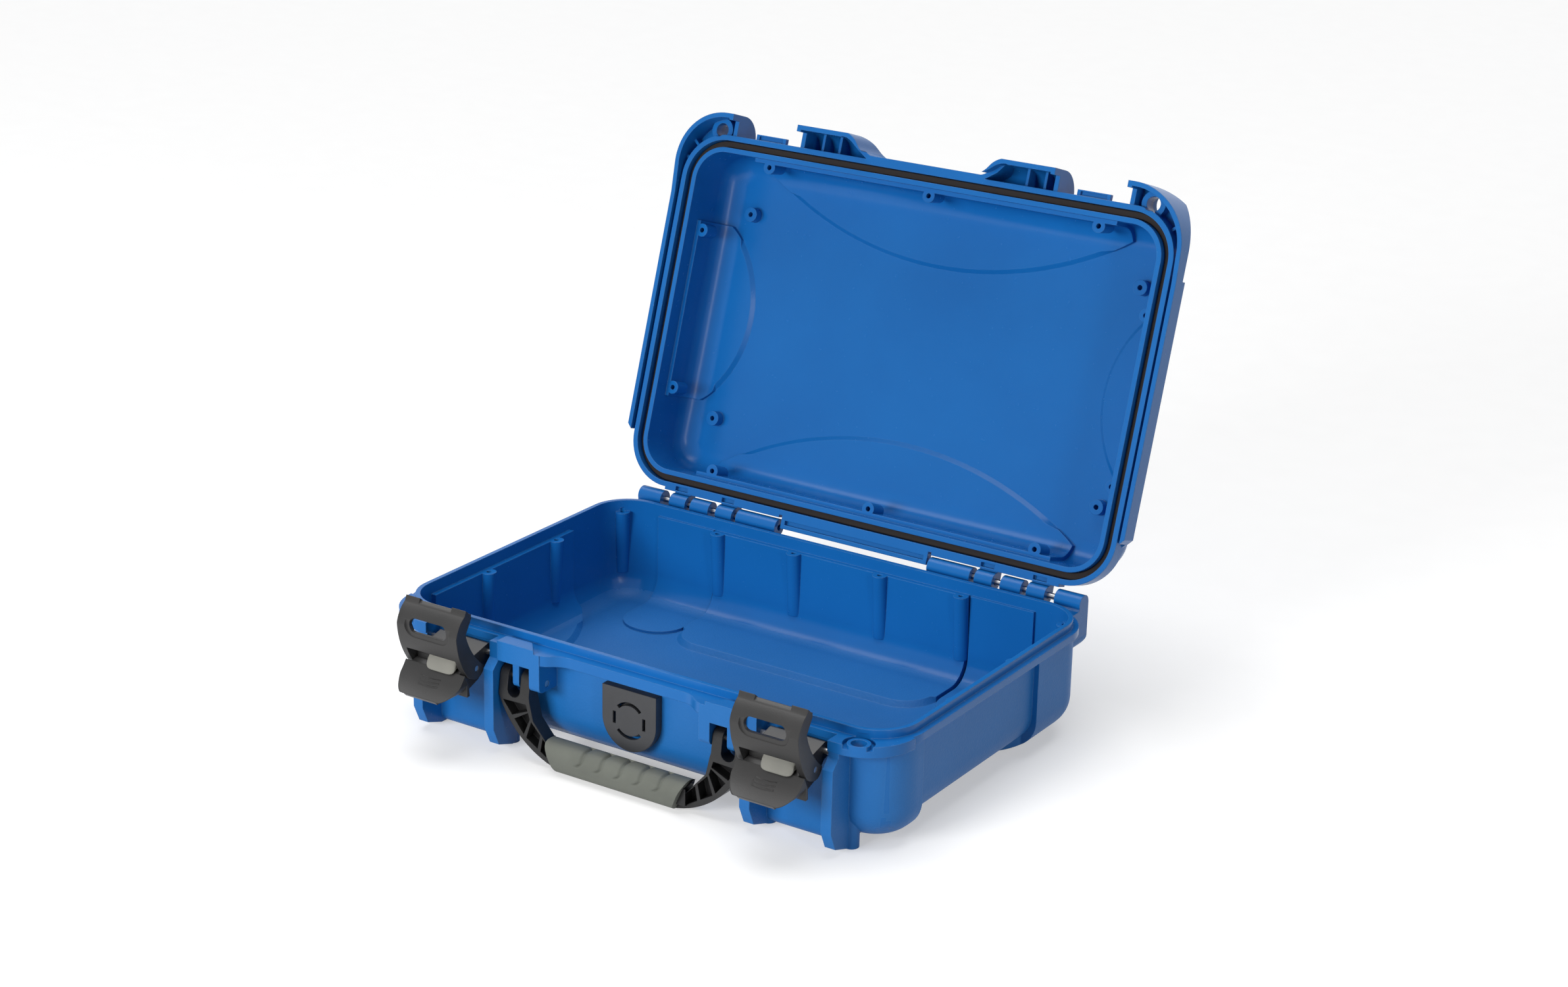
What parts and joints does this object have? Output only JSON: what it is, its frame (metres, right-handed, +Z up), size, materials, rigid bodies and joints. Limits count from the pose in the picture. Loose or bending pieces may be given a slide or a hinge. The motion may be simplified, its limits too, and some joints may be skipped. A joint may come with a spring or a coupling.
{
  "type": "hard case",
  "caption": "Moulded hard case, open: tray with a sealing tongue, gasketed lid on rear hinge pins, front draw latches with lock sliders and a folding carry handle.",
  "frame": {"origin": "on the floor under the feet, below the middle of the sealing rim", "axes": "+X along the case, -Y towards the latches and handle, +Y towards the hinge, +Z up"},
  "size_m": [0.321, 0.3447, 0.2783],
  "materials": {
    "shell_blue": "satin moulded resin",
    "gasket_rubber": "matt",
    "pin_steel": "ground",
    "latch_dark": "fine stipple",
    "slider_light": "satin",
    "handle_black": "fine stipple",
    "grip_grey": "soft matt",
    "plate_dark": "fine stipple",
    "valve_black": "satin",
    "membrane_white": "matt"
  },
  "bodies": {
    "base": {"base_shell": "shell_blue", "hinge_pin_left": "pin_steel", "hinge_pin_right": "pin_steel", "lever_pin_left": "pin_steel", "lever_pin_right": "pin_steel", "handle_pin_left": "pin_steel", "handle_pin_right": "pin_steel", "valve_cover": "plate_dark", "valve_body": "valve_black", "valve_seal": "gasket_rubber", "valve_membrane": "membrane_white", "valve_nut": "valve_black"},
    "lid": {"lid_shell": "shell_blue", "lid_gasket": "gasket_rubber"},
    "handle": {"handle_frame": "handle_black", "handle_grip": "grip_grey"},
    "lever_left": {"latch_lever_left": "latch_dark", "claw_pin_left": "pin_steel"},
    "claw_left": {"latch_claw_left": "latch_dark"},
    "slider_left": {"lock_slider_left": "slider_light"},
    "lever_right": {"latch_lever_right": "latch_dark", "claw_pin_right": "pin_steel"},
    "claw_right": {"latch_claw_right": "latch_dark"},
    "slider_right": {"lock_slider_right": "slider_light"}
  },
  "joints": [
    {"name": "lid_hinge", "type": "hinge", "parent": "base", "child": "lid", "pos_m": [0, 0.10915, 0.0634], "axis": [1, 0, 0], "range_deg": [0, 107.7]},
    {"name": "handle_swing", "type": "hinge", "parent": "base", "child": "handle", "pos_m": [0, -0.104, 0.0435], "axis": [-1, 0, 0], "range_deg": [0, 105]},
    {"name": "lever_hinge_left", "type": "hinge", "parent": "base", "child": "lever_left", "pos_m": [-0.1024, -0.1045, 0.052], "axis": [1, 0, 0], "range_deg": [0, 47.3]},
    {"name": "claw_hinge_left", "type": "hinge", "parent": "lever_left", "child": "claw_left", "pos_m": [-0.1024, -0.118, 0.048], "axis": [1, 0, 0], "range_deg": [-70.9, 0]},
    {"name": "slider_lock_left", "type": "slide", "parent": "lever_left", "child": "slider_left", "axis": [1, 0, 0], "range_m": [-0.009, 0]},
    {"name": "lever_hinge_right", "type": "hinge", "parent": "base", "child": "lever_right", "pos_m": [0.1024, -0.1045, 0.052], "axis": [1, 0, 0], "range_deg": [0, 47.3]},
    {"name": "claw_hinge_right", "type": "hinge", "parent": "lever_right", "child": "claw_right", "pos_m": [0.1024, -0.118, 0.048], "axis": [1, 0, 0], "range_deg": [-70.9, 0]},
    {"name": "slider_lock_right", "type": "slide", "parent": "lever_right", "child": "slider_right", "axis": [1, 0, 0], "range_m": [-0.009, 0]}
  ],
  "couplings": [
    {"joint": "claw_hinge_left", "follows": "lever_hinge_left", "ratio": -1.497},
    {"joint": "claw_hinge_right", "follows": "lever_hinge_right", "ratio": -1.497}
  ]
}
